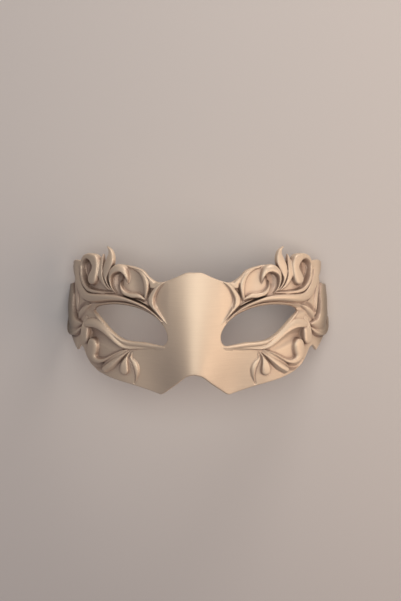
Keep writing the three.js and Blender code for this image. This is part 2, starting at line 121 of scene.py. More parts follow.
# Hollows cut into the shell before the leaves are laid on it. A station is (u, v, half width, depth).
HOLLOWS = {
    "forehead edge": [(18, 68, 3, 0.1), (21, 64.6, 6.4, 0.4), (23.6, 60.4, 9, 0.7), (23.6, 56.4, 9, 0.7),
                      (21.2, 52, 6.4, 0.4), (18.4, 48, 3, 0.1)],
    "panel floor": [(34, 62, 4, 0.4), (35.6, 66, 6, 0.5), (36.4, 69.6, 6, 0.5), (37.6, 72.4, 4, 0.3)],
    "hook cavity": [(77.6, 77.4, 2.6, 1.9), (76.8, 74.6, 4.8, 2.4), (76.6, 71, 5.4, 2.4),
                    (76.6, 67.6, 5, 2.2), (75.6, 64.6, 3, 1.4)],
    "crescent bowl": [(47.4, 61.2, 2, 0.4), (48.2, 64.4, 3.6, 1.2), (48.6, 68, 4.6, 2), (47.8, 71, 4.4, 2.2),
                      (45.6, 72.2, 2.6, 1.4)],
    "strip under the brow": [(21.4, 45.6, 1.4, 0.2), (25, 48, 2.8, 1.2), (30, 50, 3.5, 2.2),
                             (38, 52, 3.7, 2.2), (48, 52.8, 3.9, 2.2), (57, 52, 3.9, 2.2), (65, 50, 3.9, 2),
                             (70, 49, 3.4, 1.2), (74, 49, 2.4, 0.5)],
    "field under the cheek ribbon": [(48, 27, 1.8, 0.3), (53, 29.6, 4, 0.9), (58, 32, 5, 1.3),
                                     (63.4, 33.6, 5, 1.5), (68.4, 34, 4.4, 1.6), (73, 34, 3.4, 1.3)],
    "ledge under the lower hook": [(52, 19.6, 1, 0.3), (57.4, 15.8, 2.2, 1.2), (62, 13.8, 2.8, 1.5),
                                   (67, 13.8, 2.6, 1.2), (70.4, 16.6, 2, 0.6)],
    "temple pocket": [(74.2, 52.2, 1, 0.3), (77.6, 50.6, 2, 1), (81, 48.4, 2.6, 1.4), (83.8, 45.6, 2.4, 1.4),
                      (85.4, 42.6, 1.2, 0.8)],
}

# Leaves and ribbons of the right half, each laid over the ones before it.
# A station is (u, v, half width, height), from root to tip. Pairs give the right flank first, then the left.
# crest puts the ridge off the middle, towards the left edge when above 0. side is how high the edge stands,
# as a share of the height. carve is how deep the shell beside the edge is cut down, and how far out.
LEAVES = {
    "top rim": dict(
        crest=0.2, flanks=("flat", "flat"), side=(0.6, 0.6), carve=((0, 0.6), (0, 1)),
        stations=[(17.4, 69.7, 0.4, 0.5), (21, 68.2, 0.9, 1), (24, 67, 1.7, 1.1), (26.2, 67.8, 2.4, 1.3),
                  (28, 70.4, 2, 1.5), (30.4, 73.2, 1.3, 1.5), (34.4, 75.5, 0.8, 1.4), (41, 76.9, 0.5, 1)]),
    "panel border": dict(
        crest=0.1, flanks=("flat", "round"), side=(0.3, 0.3), carve=((0.8, 0.5), (0.5, 0.4)),
        stations=[(29.9, 57, 0.4, 0.8), (29.4, 59.6, 0.9, 1.3), (28.8, 62.2, 1.4, 1.7), (28.6, 65, 1.7, 1.9),
                  (28.9, 67.8, 1.8, 2), (29.8, 70.4, 1.7, 2), (31.6, 72.8, 1.3, 1.8), (34.2, 74.6, 0.8, 1.3),
                  (37.8, 75.6, 0.3, 0.6)]),
    "small flame": dict(
        crest=0.2, flanks=("flat", "flat"), side=(0.6, 0.7), carve=((0, 0.5), (0.3, 0.3)),
        stations=[(54.6, 62.1, 0.4, 0.6), (57.8, 64.4, 0.9, 1.2), (60.3, 67, 1.5, 1.6),
                  (62.4, 70.4, 2.1, 1.9), (63.1, 73.6, 2.4, 1.9), (63.1, 77, 2.1, 1.7),
                  (63, 80.4, 1.2, 1.1), (63.2, 83.1, 0.25, 0.3)]),
    "tall flame": dict(
        crest=0, flanks=("flat", "round"), side=(0.5, 0.5), carve=((0.4, 0.3), (0.9, 0.5)),
        stations=[(51, 60.9, 0.4, 0.7), (52.6, 62.2, 0.5, 1), (55.8, 65.4, 0.7, 1.6), (57.7, 68.8, 1.1, 1.9),
                  (57.9, 72.3, 2.4, 2), (57.1, 76, 3.4, 2), (55.8, 79.7, 3.2, 1.9), (55.7, 83.2, 2.1, 1.6),
                  (57.3, 85.9, 1.1, 1.1), (60.6, 87.8, 0.3, 0.4)]),
    "temple hook": dict(
        crest=0.15, flanks=("flat", "flat"), side=(0.5, 0.4), carve=((0.2, 0.3), (1.5, 0.8)),
        stations=[(51, 60.9, 0.4, 0.7), (55, 60.7, 0.6, 1.1), (60, 60.2, 0.9, 1.5), (66.4, 60, 1.2, 2),
                  (73, 60.8, 1.5, 2.4), (77.9, 63.6, 1.7, 2.7), (80.8, 67, 1.6, 2.9), (82, 70.4, 1.4, 3.1),
                  (82.7, 73.4, 1.4, 3.3), (82.1, 76.4, 1.5, 3.5), (79.8, 79, 1.8, 3.7),
                  (76.2, 80.4, 1.9, 3.8), (72.2, 80.2, 2.5, 3.8), (68.7, 78.7, 3.4, 3.6),
                  (67, 75.8, 3.1, 3.4), (67, 72.6, 3, 3.4), (67.8, 70, 3.6, 3.4), (68.6, 68.1, 4.2, 3.4)]),
    "great crescent": dict(
        crest=0.45, flanks=("round", "flat"), side=(0.25, 0.45), carve=((0.6, 0.5), (1.3, 0.9)),
        stations=[(49.6, 60.4, 0.4, 0.8), (52.3, 63.3, 0.6, 1.5), (53.6, 66.4, 0.9, 2.3),
                  (54, 69.8, 1.3, 2.9), (53.1, 72.7, 1.9, 3.3), (50.6, 74.9, 2.5, 3.5),
                  (47.6, 75.7, 2.5, 3.5), (44.6, 74.9, 2.2, 3.3), (42.7, 72.9, 1.7, 2.9),
                  (41.6, 70.2, 1.1, 2.2), (41.2, 67.4, 0.25, 0.9)]),
    "under leaf": dict(
        crest=0, flanks=("soft", "soft"), side=(0, 0), carve=((0.4, 0.5), (0.4, 0.5)),
        stations=[(28.2, 55, 0.4, 0.5), (30.8, 56.4, 0.6, 0.9), (33.8, 57.4, 0.7, 1), (36.8, 57.9, 0.5, 0.7),
                  (39.6, 58.2, 0.25, 0.3)]),
    "inner leaf": dict(
        crest=0, flanks=("flat", "round"), side=(0.35, 0.25), carve=((1.2, 0.6), (0.9, 0.5)),
        stations=[(29.6, 58, 0.4, 0.8), (31.6, 59.4, 1.1, 1.6), (34.4, 60.3, 1.6, 2.1),
                  (37.6, 60.2, 1.7, 2.4), (40.8, 60.5, 1.6, 2.5), (43.4, 61.7, 1.4, 2.5),
                  (45.2, 63.7, 1, 2.2), (46.2, 66, 0.6, 1.6), (46.6, 68.2, 0.25, 0.8)]),
    "temple leaf": dict(
        crest=0, flanks=("round", "soft"), side=(0.1, 0.1), carve=((0.5, 0.7), (0.6, 0.8)),
        stations=[(96, 64.4, 2.2, 0.8), (92.6, 60, 2.4, 1), (89.6, 55.6, 2.4, 1.2), (87.8, 51.8, 2, 1.3),
                  (86.9, 48, 1.3, 1.1), (86.4, 45, 0.4, 0.6)]),
    "temple sprig": dict(
        crest=0.3, flanks=("soft", "round"), side=(0, 0.3), carve=((0.2, 0.8), (0.9, 0.8)),
        stations=[(71, 51.4, 0.5, 0.5), (74, 49.4, 1.4, 1.3), (77.2, 46.8, 2, 1.8), (80.2, 44, 2, 1.8),
                  (82.2, 41.2, 1, 1)]),
    "wing fold": dict(
        crest=-0.2, flanks=("flat", "soft"), side=(0.25, 0), carve=((1.2, 1), (0.8, 0.8)),
        stations=[(78.6, 35.8, 0.8, 1.2), (82.6, 33.6, 1.9, 2), (88.4, 31.6, 2.8, 2.6), (95, 30.8, 3.2, 2.8),
                  (102, 31.2, 3.4, 2.3), (109, 32, 3.4, 1.5), (115.4, 33.6, 2.6, 0.7)]),
    "wing band": dict(
        crest=-0.5, flanks=("round", "soft"), side=(0.35, -0.1), carve=((1.4, 1), (1, 0.8)),
        stations=[(111, 56, 7, 0.5), (108.4, 53.6, 10.2, 1.4), (105.4, 50.2, 11.8, 2.2),
                  (102.6, 46.6, 12, 2.7), (99.8, 42, 11.2, 3), (95.4, 38.2, 8.8, 3.2), (89.4, 36.9, 5.6, 3),
                  (84, 37.2, 3, 2.4), (79.4, 38, 1, 1.2)]),
    "brow band": dict(
        crest=0.2, flanks=("round", "round"), side=(0.35, 0.6), carve=((1, 1.4), (0, 0.4)),
        stations=[(19.4, 45.8, 0.4, 0.6), (22.6, 49.2, 0.6, 1.3), (26.6, 52.4, 0.8, 1.8),
                  (31.2, 54.5, 0.95, 2.2), (36.6, 56.3, 1.15, 2.5), (42.6, 57.6, 1.4, 2.7),
                  (49, 58, 1.7, 2.8), (56, 57.6, 2, 2.8), (63, 56.8, 2.5, 2.8), (70, 56, 2.8, 2.8),
                  (75.6, 56.8, 3.3, 2.8), (80, 59.1, 3.8, 2.8), (84.2, 62.6, 4.1, 2.8),
                  (88, 66.2, 4.4, 2.8), (91.2, 70.2, 5.8, 2.8), (93.8, 73.6, 8.4, 2.8),
                  (94.4, 76.2, 10.2, 2.8)]),
    "forehead crescent": dict(
        crest=0.3, flanks=("flat", "flat"), side=(0.5, 0.4), carve=((0, 0.5), (0.5, 0.4)),
        stations=[(15.9, 70.4, 0.25, 0.3), (18.4, 69, 0.5, 0.6), (20.6, 67.3, 0.8, 0.8), (22.7, 65, 1.2, 1),
                  (24.5, 62.2, 1.6, 1.2), (25.7, 59.2, 1.8, 1.3), (25.5, 56.6, 1.9, 1.4),
                  (23.7, 53.7, 1.2, 1.4), (20.3, 49.6, 0.6, 1.1), (17.8, 46.6, 0.35, 0.6),
                  (16.4, 44.6, 0.2, 0.3)]),
    "lid foot": dict(
        crest=0, flanks=("flat", "flat"), side=(0.3, 0.3), carve=((0.3, 0.4), (0, 1)),
        stations=[(19, 29.6, 0.8, 0.2), (26, 29.3, 1.3, 0.5), (34, 29.2, 1.7, 0.9), (41, 29.5, 1.9, 1.2),
                  (46, 31, 1.8, 1.4), (51, 34.6, 1.4, 1.4)]),
    "lower lid": dict(
        crest=0, flanks=("round", "flat"), side=(0.4, 0.4), carve=((0.1, 0.4), (0, 1)),
        stations=[(18, 30.3, 0.5, 0.3), (24.6, 30.3, 1, 0.8), (32, 30.7, 1.3, 1.2), (38.6, 30.9, 1.35, 1.5),
                  (43.4, 31.6, 1.5, 1.7), (48, 34, 1.6, 1.9), (52.2, 37.2, 1.6, 1.9), (57, 41, 1.5, 1.8),
                  (61.2, 43.9, 1.4, 1.5), (64.6, 46, 1.1, 0.9), (67.4, 47.8, 0.6, 0.3)]),
    "drape": dict(
        crest=0, flanks=("flat", "flat"), side=(0.4, 0.4), carve=((0.8, 0.6), (0.6, 0.7)),
        stations=[(74.4, 42.6, 1.6, 0.4), (74.1, 40, 2.6, 1.2), (73.7, 37.4, 3.4, 2.2), (73.6, 35, 3.7, 2.7),
                  (73.6, 32.6, 3.8, 2.9), (73.7, 30.4, 3.9, 2.9)]),
    "cheek ribbon": dict(
        crest=-0.45, flanks=("flat", "soft"), side=(0.5, 0.25), carve=((0.9, 0.7), (0.2, 0.4)),
        stations=[(24, 29, 0.3, 0.3), (30, 28.8, 0.5, 0.6), (36, 28.5, 0.9, 1.1), (40.4, 28.4, 1.4, 1.5),
                  (44.4, 29.3, 1.6, 1.9), (48.4, 31.9, 1.9, 2.3), (52, 34.9, 2.1, 2.5),
                  (56.2, 37.9, 2.4, 2.7), (60.6, 40.1, 2.8, 2.8), (65.2, 40.9, 3, 2.8),
                  (69.4, 40.4, 2.9, 2.7), (72.4, 39.6, 2.2, 2.2)]),
    "lower hook": dict(
        crest=0, flanks=("flat", "round"), side=(0.5, 0.3), carve=((0.7, 0.6), (1, 0.6)),
        stations=[(41.4, 27, 0.3, 0.5), (45.6, 25.5, 0.6, 1), (50, 23, 0.8, 1.5), (54.2, 20.3, 1, 1.9),
                  (58, 18.4, 1.3, 2.3), (61.8, 17.8, 1.7, 2.6), (64.9, 18.9, 2.4, 2.8), (66.5, 21.4, 3.4, 3),
                  (66.2, 24.4, 4, 3), (65.8, 27, 4, 3), (65.8, 28, 3.6, 2.9)]),
    "fold beside the straight leaf": dict(
        crest=0.3, flanks=("flat", "round"), side=(0.6, 0.4), carve=((0, 0.4), (0.4, 0.4)),
        stations=[(42, 26.2, 0.3, 0.4), (46, 23.9, 0.8, 0.7), (50.6, 20.8, 1.2, 0.8), (55, 17.5, 1.3, 0.9),
                  (58.6, 14.8, 0.8, 0.6)]),
    "straight leaf": dict(
        crest=-0.15, flanks=("ramp", "soft"), side=(0.1, 0.6), carve=((0.5, 0.6), (0.3, 0.3)),
        stations=[(40.8, 25.6, 0.3, 0.5), (44.2, 22.8, 1.1, 1.4), (48, 19.4, 2, 2.2), (52, 15.9, 2.6, 2.8),
                  (56.4, 12.9, 2.3, 2.9)]),
    "teardrop": dict(
        crest=0, flanks=("flat", "flat"), side=(0.55, 0.4), carve=((0.7, 0.5), (0.7, 0.5)),
        stations=[(40.2, 25, 0.25, 0.4), (41.6, 22, 0.8, 1.2), (42.6, 19, 1.9, 1.9), (43.1, 16.2, 2.8, 2.3),
                  (43.2, 14, 3, 2.4)]),
    "cheek crescent": dict(
        crest=0.3, flanks=("soft", "round"), side=(0.3, 0.35), carve=((0.8, 0.45), (1, 0.8)),
        stations=[(38.4, 25, 0.4, 0.4), (39, 21.8, 0.8, 0.8), (37, 19, 1.7, 1.2), (35.6, 15.8, 1.8, 1.4),
                  (35.3, 12, 1.2, 1.3), (36, 8.4, 0.5, 0.8), (36.9, 5.8, 0.2, 0.4)]),
}

# Narrow creases, cut last. A station is (u, v, half width, level that the crease is cut to).
CREASES = {
    "groove of the forehead crescent": [(16, 70.3, 0.25, 0), (18.8, 67.7, 0.35, -0.5),
                                        (21, 65.3, 0.35, -0.8), (22.7, 62.3, 0.4, -1.1),
                                        (23.8, 59.2, 0.4, -1.1), (23.7, 56.4, 0.35, -0.9),
                                        (23, 54, 0.3, -0.2)],
    "shade under the brow band": [(24.6, 49.2, 0.3, -0.6), (27.2, 51.2, 0.5, -1.4), (31.6, 53, 0.6, -1.7),
                                  (36.8, 54.7, 0.6, -1.7), (42.6, 55.7, 0.6, -1.7), (49, 55.8, 0.6, -1.7),
                                  (56, 55.1, 0.6, -1.7), (63, 53.8, 0.6, -1.4), (69, 52.8, 0.4, -0.4)],
    "gap over the brow band": [(23.4, 50.6, 0.3, 0.2), (25, 52, 0.4, -0.8), (28.2, 54.2, 0.5, -1.6),
                               (32, 56, 0.5, -1.7), (36.4, 57.6, 0.5, -1.7), (41, 59, 0.45, -1.4),
                               (45.4, 60, 0.3, 0.4)],
    "seam over the brow band": [(57, 59.4, 0.2, 0.8), (62, 59.1, 0.25, 0.5), (68, 58.8, 0.3, 0.3),
                                (73, 59.4, 0.3, 0.3), (77.9, 62.2, 0.3, 0.4), (81.5, 65.7, 0.3, 0.6),
                                (84.4, 69.4, 0.25, 1.1), (85.8, 73, 0.2, 1.8)],
    "hole beside the forehead crescent": [(26.9, 68, 0.25, 0.6), (26.8, 65.6, 0.4, -0.8),
                                          (27.1, 63.2, 0.5, -1.6), (27.8, 61, 0.35, -0.6),
                                          (28.6, 58.4, 0.25, 0.4)],
    "core of the hook": [(76.6, 78, 0.4, 0.4), (74, 77.4, 0.7, -1), (71.6, 75.6, 0.9, -1.7),
                         (71.2, 73, 0.9, -1.7), (72.2, 70.2, 0.9, -1.7), (73.6, 67.6, 0.9, -1.6),
                         (73.8, 65.2, 0.7, -1.2), (72.2, 63.4, 0.4, -0.2)],
    "slit beside the temple": [(93.8, 57.6, 0.3, 0.4), (93, 54.8, 0.7, -0.9), (92.2, 52, 0.9, -1.7),
                               (91.2, 49.2, 1, -1.7), (90, 46.4, 1, -1.7), (88.4, 43.6, 0.9, -1.7),
                               (86.2, 41.3, 0.7, -1.4), (84, 40, 0.4, 0.2)],
}

# Leaves that stand free above the shell's edge
FREE_LEAVES = ["small flame", "tall flame", "temple hook", "great crescent"]

# Grid that the relief is worked out on, GRID_MARGIN steps past the middle line and the cheek points
GRID_STEP = 0.3
GRID_MARGIN = 4
WING_MARGIN = 2

# How strokes are traced on the grid, and how soft their edges are
SAMPLE_STEP = 0.12
LEAST_HALF = 0.15
EDGE_RUN = 0.5
FREE_LEAF_REACH = 3
SOFTENING = 0.18
BLUR_WIDTHS = 3

# Deepest cut below the shell's front
DEEPEST = -1.7

# The most triangles that the mask may have
TRIANGLES = 190000

# Stand-ins for a distance not found yet, and for one of nothing
FAR = 1e6
TINY = 1e-9

# The outline field has a slope of 1, and less in its corners. This is the least that its square is taken for.
LEAST_STEEPNESS = 0.25


def smooth(t):
    """From 0 at 0 to 1 at 1, and level at both ends."""
    c = np.clip(t, 0, 1)
    return c * c * (3 - 2 * c)


# Forming

def stepped_wrap():
    """Places along the wrap, and how far each of them is to the side and to the back."""
    places = (np.arange(int(WRAP_REACH / WRAP_STRIDE)) + 0.5) * WRAP_STRIDE
    turn = math.radians(WRAP_TURN) * smooth((places - WRAP_START) / (WRAP_END - WRAP_START))
    x = np.concatenate([[0], np.cumsum(np.cos(turn))]) * WRAP_STRIDE
    z = np.concatenate([[0], -np.cumsum(np.sin(turn))]) * WRAP_STRIDE
    return np.arange(len(x)) * WRAP_STRIDE, x, z


WRAP = stepped_wrap()


def stepped_nose():
    """Height and width of the nose ridge up its length, with the rows' corners rounded."""
    rows, heights, widths = zip(*NOSE_ROWS)
    places = np.arange(-NOSE_MARGIN, PATTERN_TOP + NOSE_MARGIN, WRAP_STRIDE)
    reach = np.arange(-NOSE_MARGIN, NOSE_MARGIN + WRAP_STRIDE, WRAP_STRIDE)
    kernel = np.exp(-0.5 * (reach / NOSE_SOFTENING) ** 2)
    kernel /= kernel.sum()
    spread = [np.convolve(np.interp(places, rows, row), kernel, "valid") for row in (heights, widths)]
    margin = (len(places) - len(spread[0])) // 2
    return places[margin:margin + len(spread[0])], *spread


NOSE = stepped_nose()


def front(u, v):
    """The shell's front, formed: wrap, nose and lean together."""
    places, xs, zs = WRAP
    away = np.abs(u)
    turn = math.radians(WRAP_TURN) * smooth((away - WRAP_START) / (WRAP_END - WRAP_START))
    rows, heights, widths = NOSE
    nose = np.interp(v, rows, heights) * np.exp(-0.5 * (u / np.interp(v, rows, widths)) ** 2)
    lean = -LEAN_DROP * ((v - LEAN_FROM) / LEAN_SPAN) ** 2
    x = np.sign(u) * (np.interp(away, places, xs) + lean * np.sin(turn))
    return np.stack([x, v, np.interp(away, places, zs) + nose + lean * np.cos(turn)], -1)


def formed(u, v, w):
    """Points at height w over the shell's front."""
    across = front(u + NORMAL_REACH, v) - front(u - NORMAL_REACH, v)
    along = front(u, v + NORMAL_REACH) - front(u, v - NORMAL_REACH)
    normal = np.cross(across, along)
    normal /= np.linalg.norm(normal, axis=-1, keepdims=True)
    return front(u, v) + normal * np.asarray(w)[..., None]


# Flat pattern

def along_curve(stations, t):
    """The stations' numbers at places t from 0 to 1, on a smooth curve through every one."""
    rows = np.asarray(stations, float)
    last = len(rows) - 1
    i = np.minimum((t * last).astype(int), last - 1)
    f = (t * last - i)[:, None]
    a, b, c, d = (rows[np.clip(i + k, 0, last)] for k in (-1, 0, 1, 2))
    return b + 0.5 * f * (c - a + f * (2 * a - 5 * b + 4 * c - d + f * (3 * (b - c) + d - a)))


def outline_points(runs):
    """Points of an outline that is smooth within each run."""
    parts = []
    for run in runs:
        spans = len(run) - 1
        count = spans * OUTLINE_POINTS_PER_SPAN if spans > 1 else 1
        parts.append(along_curve(run, np.arange(count) / count))
    return np.concatenate(parts)


us = np.arange(-GRID_MARGIN, int((WING_EDGE + WING_MARGIN) / GRID_STEP) + 1) * GRID_STEP
vs = np.arange(-GRID_MARGIN, int(PATTERN_TOP / GRID_STEP) + 1) * GRID_STEP
U, V = np.meshgrid(us, vs, indexing="ij")


def away_from(polygon):
    """How far each grid point is outside a closed outline; inside, the distance is below 0."""
    nearest = np.full(U.shape, FAR)
    inside = np.zeros(U.shape, bool)
    for (u0, v0), (u1, v1) in zip(polygon, np.roll(polygon, -1, 0)):
        du, dv = u1 - u0, v1 - v0
        t = np.clip(((U - u0) * du + (V - v0) * dv) / (du * du + dv * dv), 0, 1)
        nearest = np.minimum(nearest, (U - u0 - t * du) ** 2 + (V - v0 - t * dv) ** 2)
        if v0 != v1:
            inside ^= ((v0 > V) != (v1 > V)) & (U < (V - v0) * du / dv + u0)
    return np.where(inside, -1, 1) * np.sqrt(nearest)


class Trace:
    """A stroke along the stations, as fields on the grid.

    away is how far outside its edge a point is, share is 0 on its ridge and 1 at its edge,
    left is 0 on its right flank and 1 on its left, and height is the stations' last number.
    """

    def __init__(self, stations, reach, crest=0):
        rows = np.asarray(stations, float)
        length = np.hypot(*np.diff(rows[:, :2], axis=0).T).sum()
        count = max(int(length / SAMPLE_STEP), len(rows))
        samples = along_curve(stations, np.linspace(0, 1, count))
        heading = np.gradient(samples[:, :2], axis=0)
        heading /= np.linalg.norm(heading, axis=1)[:, None]
        self.away = np.full(U.shape, FAR)
        self.share = np.ones(U.shape)
        self.left = np.zeros(U.shape)
        self.height = np.zeros(U.shape)
        for (u, v, half, height), (hu, hv) in zip(samples, heading):
            self.stamp(u, v, max(half, LEAST_HALF), height, hu, hv, reach, crest)

    def stamp(self, u, v, half, height, hu, hv, reach, crest):
        """Takes over the points that lie closer to this sample's circle than to any before it."""
        span = half + reach
        i = slice(*np.searchsorted(us, (u - span, u + span)))
        j = slice(*np.searchsorted(vs, (v - span, v + span)))
        du, dv = us[i, None] - u, vs[None, j] - v
        away = np.hypot(du, dv) - half
        closer = away < self.away[i, j]
        forward = np.maximum(np.abs(hu * du + hv * dv) - SAMPLE_STEP, 0)
        ridge = crest * half
        lateral = hu * dv - hv * du - ridge
        distance = np.hypot(forward, lateral) + TINY
        slant = lateral / distance
        room = np.sqrt((ridge * slant) ** 2 + half ** 2 - ridge ** 2) - ridge * slant
        np.copyto(self.away[i, j], away, where=closer)
        np.copyto(self.share[i, j], distance / room, where=closer)
        np.copyto(self.left[i, j], (1 + slant) / 2, where=closer)
        np.copyto(self.height[i, j], height, where=closer)

    def mixed(self, pair):
        """A value for the right flank and one for the left, blended over the ridge."""
        return pair[0] + (pair[1] - pair[0]) * self.left

    def section(self, flanks):
        """From 1 on the ridge to 0 at the edge."""
        x = np.clip(self.share, 0, 1)
        falls = [(1 - x ** a) ** b for a, b in (FLANKS[name] for name in flanks)]
        return self.mixed(falls)


def hollowed(relief, stations):
    """The relief with a rounded hollow cut into it."""
    trace = Trace(stations, GRID_STEP)
    return relief - trace.height * trace.section(("dish", "dish"))


def creased(relief, stations):
    """The relief drawn down to the crease's own level, whatever it was before."""
    trace = Trace(stations, GRID_STEP)
    return relief + (trace.height - relief) * trace.section(("soft", "soft"))


def laid(relief, leaf):
    """The relief with one leaf laid on it, and the shell cut down beside the leaf."""
    (depth_right, reach_right), (depth_left, reach_left) = leaf["carve"]
    trace = Trace(leaf["stations"], max(reach_right, reach_left, EDGE_RUN), leaf["crest"])
    depth = trace.mixed((depth_right, depth_left))
    reach = trace.mixed((reach_right, reach_left))
    relief = relief - depth * (1 - np.clip(trace.away / reach, 0, 1)) ** 2
    side = trace.mixed(leaf["side"])
    top = trace.height * (side + (1 - side) * trace.section(leaf["flanks"]))
    cover = smooth(0.5 - trace.away / EDGE_RUN)
    return relief + cover * np.maximum(top - relief, 0)


def blurred_row(row, reach, kernel):
    return np.convolve(np.pad(row, reach, "edge"), kernel, "valid")


def softened(field, width):
    """The field with its sharp edges blurred, over the same width in both directions."""
    reach = int(math.ceil(BLUR_WIDTHS * width / GRID_STEP))
    kernel = np.exp(-0.5 * (np.arange(-reach, reach + 1) * GRID_STEP / width) ** 2)
    kernel /= kernel.sum()
    for axis in (0, 1):
        field = np.apply_along_axis(blurred_row, axis, field, reach, kernel)
    return field


def relief_field():
    """Height of the relief over the shell's front."""
    relief = np.zeros(U.shape)
    for stations in HOLLOWS.values():
        relief = hollowed(relief, stations)
    for leaf in LEAVES.values():
        relief = laid(relief, leaf)
    for stations in CREASES.values():
        relief = creased(relief, stations)
    return softened(np.maximum(relief, DEEPEST), SOFTENING)


def outline_fields():
    """How far each grid point is outside the shell alone, and outside the whole mask."""
    half = outline_points(TOP_RUNS + WING_RUNS + CHEEK_RUNS)
    whole = np.concatenate([half, [CHEEK_RUNS[-1][-1]], (half[1:] * (-1, 1))[::-1]])
    shell = away_from(whole)
    mask = shell
    for name in FREE_LEAVES:
        mask = np.minimum(mask, Trace(LEAVES[name]["stations"], FREE_LEAF_REACH).away)
    eye = away_from(outline_points([EYE_RUN]))
    return shell, np.maximum(mask, -eye)


# Mesh

def rounding(inward, radius):
    """How far a rounded edge drops at a distance inward from the outline."""
    rest = 1 - np.clip(inward / radius, 0, 1)
    return radius * (1 - np.sqrt(1 - rest ** 2))


def half_surface(relief, shell, mask):
    """Grid points and faces of the right half, with its outer points moved onto the outline."""
    slope_u, slope_v = np.gradient(mask, GRID_STEP)
    steep = np.maximum(slope_u ** 2 + slope_v ** 2, LEAST_STEEPNESS)
    near = np.abs(mask) < GRID_STEP / 2
    u = np.where(near, U - mask * slope_u / steep, U)
    v = np.where(near, V - mask * slope_v / steep, V)
    inward = np.where(near, 0, -mask)
    top = relief - rounding(inward, FRONT_ROUNDING)
    thickness = SHELL_THICKNESS + (FREE_LEAF_THICKNESS - SHELL_THICKNESS) * smooth(shell / THINNING_RUN + 0.5)
    bottom = rounding(inward, BACK_ROUNDING) - thickness
    start = GRID_MARGIN
    u[start] = 0
    keep = (mask < GRID_STEP / 2)[start:]
    fields = [field[start:] for field in (u, v, top, bottom)]
    number = np.full(keep.shape, -1)
    number[keep] = np.arange(keep.sum())
    cells = [number[:-1, :-1], number[1:, :-1], number[1:, 1:], number[:-1, 1:]]
    corners = np.stack(cells, -1).reshape(-1, 4)
    found = (corners >= 0).sum(1)
    faces = [tuple(row) for row in corners[found == 4]]
    faces += [tuple(k for k in row if k >= 0) for row in corners[found == 3]]
    return [field[keep] for field in fields], faces


def both_halves(fields, faces):
    """The right half's points and faces, with their mirror images joined on at the middle line."""
    u, v, top, bottom = fields
    mirrored = np.full(len(u), -1)
    side = np.flatnonzero(u > 0)
    middle = np.flatnonzero(u == 0)
    mirrored[middle] = middle
    mirrored[side] = len(u) + np.arange(len(side))
    fields = [np.concatenate([u, -u[side]]), *(np.concatenate([f, f[side]]) for f in (v, top, bottom))]
    faces = faces + [tuple(mirrored[k] for k in reversed(face)) for face in faces]
    return fields, faces


def closed_faces(faces, back):
    """The front's faces, the back's, and the wall that joins them along every edge."""
    directed = {(face[k - 1], face[k]) for face in faces for k in range(len(face))}
    rim = [(a, b) for a, b in directed if (b, a) not in directed]
    walls = [(b, a, a + back, b + back) for a, b in sorted(rim)]
    return faces + [tuple(k + back for k in reversed(face)) for face in faces] + walls


def mask_points(fields):
    """Points of the front and then of the back, placed so that the mask lies as the CAD solid does."""
    u, v, top, bottom = fields
    points = np.concatenate([formed(u, v, top), formed(u, v, bottom)])
    shift_y = cad_box[0].y / MILLIMETRE
    shift_z = cad_box[1].z / MILLIMETRE - points[:, 2].max()
    return points + (0, shift_y, shift_z), Vector((0, shift_y, shift_z))


def cut_level(mesh):
    """Cuts off what reaches below the surface that the mask lies on."""
    work = bmesh.new()
    work.from_mesh(mesh)
    geometry = work.verts[:] + work.edges[:] + work.faces[:]
    level = dict(plane_co=(0, 0, 0), plane_no=(0, 0, 1))
    cut = bmesh.ops.bisect_plane(work, geom=geometry, clear_inner=True, **level)
    edges = [item for item in cut["geom_cut"] if isinstance(item, bmesh.types.BMEdge)]
    filled = bmesh.ops.edgenet_fill(work, edges=edges)["faces"]
    bmesh.ops.triangulate(work, faces=filled)
    bmesh.ops.recalc_face_normals(work, faces=work.faces[:])
    work.to_mesh(mesh)
    work.free()


def thin(piece, triangles):
    """Takes triangles out of the piece's mesh where it is smooth, down to the number given."""
    count = sum(len(face.vertices) - 2 for face in piece.data.polygons)
    if count <= triangles:
        return
    modifier = piece.modifiers.new("thin", "DECIMATE")
    modifier.ratio = triangles / count
    bpy.context.view_layer.update()
    mesh = bpy.data.meshes.new_from_object(piece.evaluated_get(bpy.context.evaluated_depsgraph_get()))
    piece.modifiers.clear()
    piece.data = mesh


def make_mask():
    relief = relief_field()
    shell, mask = outline_fields()
    fields, faces = both_halves(*half_surface(relief, shell, mask))
    points, shift = mask_points(fields)
    mesh = bpy.data.meshes.new("cast_mask")
    mesh.from_pydata((points * MILLIMETRE).tolist(), [], closed_faces(faces, len(fields[0])))
    piece = bpy.data.objects.new("cast_mask", mesh)
    bpy.context.scene.collection.objects.link(piece)
    thin(piece, TRIANGLES)
    cut_level(piece.data)
    piece.data.shade_smooth()
    return piece, shift


# Materials

PAINT_METALLIC = 0.35
PAINT_ROUGHNESS = 0.48
DARK_PAINT = (0.64, 0.52, 0.39, 1)
PALE_PAINT = (0.78, 0.65, 0.50, 1)

# Brush strokes run sideways. Their scale is in strokes to the metre along x, y and z.
STROKE_SCALE = (45, 1300, 200)
STROKE_DETAIL = 4
STROKE_SHARE = 0.45
STROKE_DEPTH = 0.0002
STROKE_BUMP = 0.25

# Clouds between the two paint colours, to the metre
CLOUD_SCALE = 45
CLOUD_DETAIL = 3

# Painted shade in the recesses: how open a place is, and the colour that the paint is multiplied by there,
# brown-black in the deepest creases and grey-violet in shallow hollows
PAINTED_SHADE = [(0.15, (0.045, 0.035, 0.03, 1)), (0.42, (0.28, 0.23, 0.22, 1)),
         (0.68, (0.68, 0.62, 0.65, 1)), (0.92, (1, 1, 1, 1))]
PAINTED_SHADE_REACH = 0.01
PAINTED_SHADE_SAMPLES = 12

# Painted shade towards the wings' ends: the paint gets darker from the first to the second distance from the
# middle line, in metres
WING_SHADE_FROM = 0.075
WING_SHADE_TO = 0.083
WING_SHADE_SHARE = 0.4

